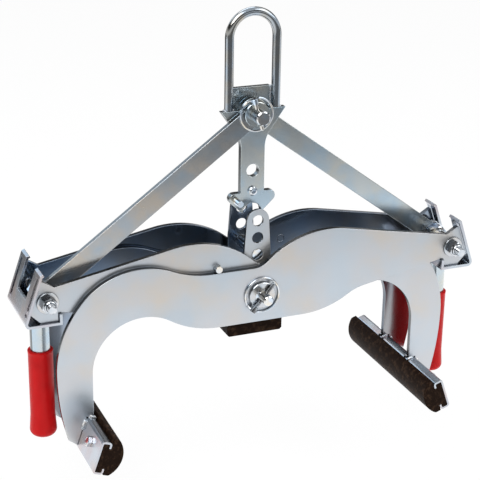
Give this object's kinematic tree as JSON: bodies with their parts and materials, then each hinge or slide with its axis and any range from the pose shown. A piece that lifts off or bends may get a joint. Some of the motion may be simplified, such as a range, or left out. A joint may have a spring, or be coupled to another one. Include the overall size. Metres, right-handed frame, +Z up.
{
  "type": "lifting tongs",
  "caption": "Scissor lifting tongs: crossed plate arms with rubber-faced jaws, red grips, and links that close them when the lifting loop is raised.",
  "frame": {"origin": "on the ground under the middle of the tongs, level with the lowest point of the jaw rubbers", "axes": "+X along the span, from the left jaw to the right jaw; +Y from the front plate to the rear plate, along the pivot bolt; +Z up to the lifting loop"},
  "size_m": [0.6638, 0.245, 0.586],
  "materials": {
    "zinc_plate": "bright zinc plated sheet",
    "zinc_hardware": "bright zinc plated, glossy",
    "black_rubber": "matt black rubber",
    "red_grip": "satin red grip"
  },
  "bodies": {
    "centre": {"front_cheek": "zinc_plate", "rear_cheek": "zinc_plate", "bracket_floor": "zinc_plate", "foot_rubber": "black_rubber", "foot_screws": "zinc_hardware", "centre_spacer": "zinc_hardware", "cheek_cross_pin": "zinc_hardware", "centre_bolt": "zinc_hardware", "centre_castle_nut": "zinc_hardware", "centre_washers": "zinc_hardware", "centre_split_pin": "zinc_hardware"},
    "arm_a": {"arm_a_front_plate": "zinc_plate", "arm_a_rear_plate": "zinc_plate", "arm_a_stop_pin": "zinc_hardware", "left_jaw_channel": "zinc_plate", "left_jaw_rubber": "black_rubber", "left_jaw_bolts": "zinc_hardware", "right_end_bracket": "zinc_plate", "right_end_handle_tube": "zinc_plate", "right_end_grip": "red_grip", "right_end_link_bolt": "zinc_hardware", "right_end_link_nut": "zinc_hardware", "right_end_link_washers": "zinc_hardware", "right_end_link_bushes": "zinc_hardware"},
    "arm_b": {"arm_b_front_plate": "zinc_plate", "arm_b_rear_plate": "zinc_plate", "arm_b_stop_pin": "zinc_hardware", "right_jaw_channel": "zinc_plate", "right_jaw_rubber": "black_rubber", "right_jaw_bolts": "zinc_hardware", "left_end_bracket": "zinc_plate", "left_end_handle_tube": "zinc_plate", "left_end_grip": "red_grip", "left_end_link_bolt": "zinc_hardware", "left_end_link_nut": "zinc_hardware", "left_end_link_washers": "zinc_hardware", "left_end_link_bushes": "zinc_hardware"},
    "top": {"top_bolt": "zinc_hardware", "top_castle_nut": "zinc_hardware", "top_washers": "zinc_hardware", "top_split_pin": "zinc_hardware"},
    "left_link_bar": {"left_link": "zinc_plate"},
    "right_link_bar": {"right_link": "zinc_plate"},
    "hanger": {"lifting_loop": "zinc_plate", "hanger_web": "zinc_plate", "hanger_bar": "zinc_plate", "hanger_bar_stud": "zinc_hardware", "hanger_bar_rivet": "zinc_hardware"}
  },
  "joints": [
    {"name": "arm_a_pivot", "type": "hinge", "parent": "centre", "child": "arm_a", "pos_m": [0, 0, 0.194], "axis": [0, -1, 0], "range_deg": [0, 24]},
    {"name": "arm_b_pivot", "type": "hinge", "parent": "centre", "child": "arm_b", "pos_m": [0, 0, 0.194], "axis": [0, 1, 0], "range_deg": [0, 24]},
    {"name": "top_lift", "type": "slide", "parent": "centre", "child": "top", "axis": [0, 0, 1], "range_m": [0, 0.1637]},
    {"name": "left_link_pivot", "type": "hinge", "parent": "top", "child": "left_link_bar", "pos_m": [0, 0, 0.444], "axis": [0, -1, 0], "range_deg": [0, 9.01]},
    {"name": "right_link_pivot", "type": "hinge", "parent": "top", "child": "right_link_bar", "pos_m": [0, 0, 0.444], "axis": [0, 1, 0], "range_deg": [0, 9.01]},
    {"name": "hanger_swing", "type": "hinge", "parent": "top", "child": "hanger", "pos_m": [0, 0, 0.444], "axis": [0, -1, 0], "range_deg": [-22, 22]}
  ],
  "couplings": [
    {"joint": "arm_b_pivot", "follows": "arm_a_pivot", "ratio": 1},
    {"joint": "top_lift", "follows": "arm_a_pivot", "m_per_rad": 0.39076},
    {"joint": "left_link_pivot", "follows": "arm_a_pivot", "ratio": 0.37517},
    {"joint": "right_link_pivot", "follows": "arm_a_pivot", "ratio": 0.37517}
  ]
}
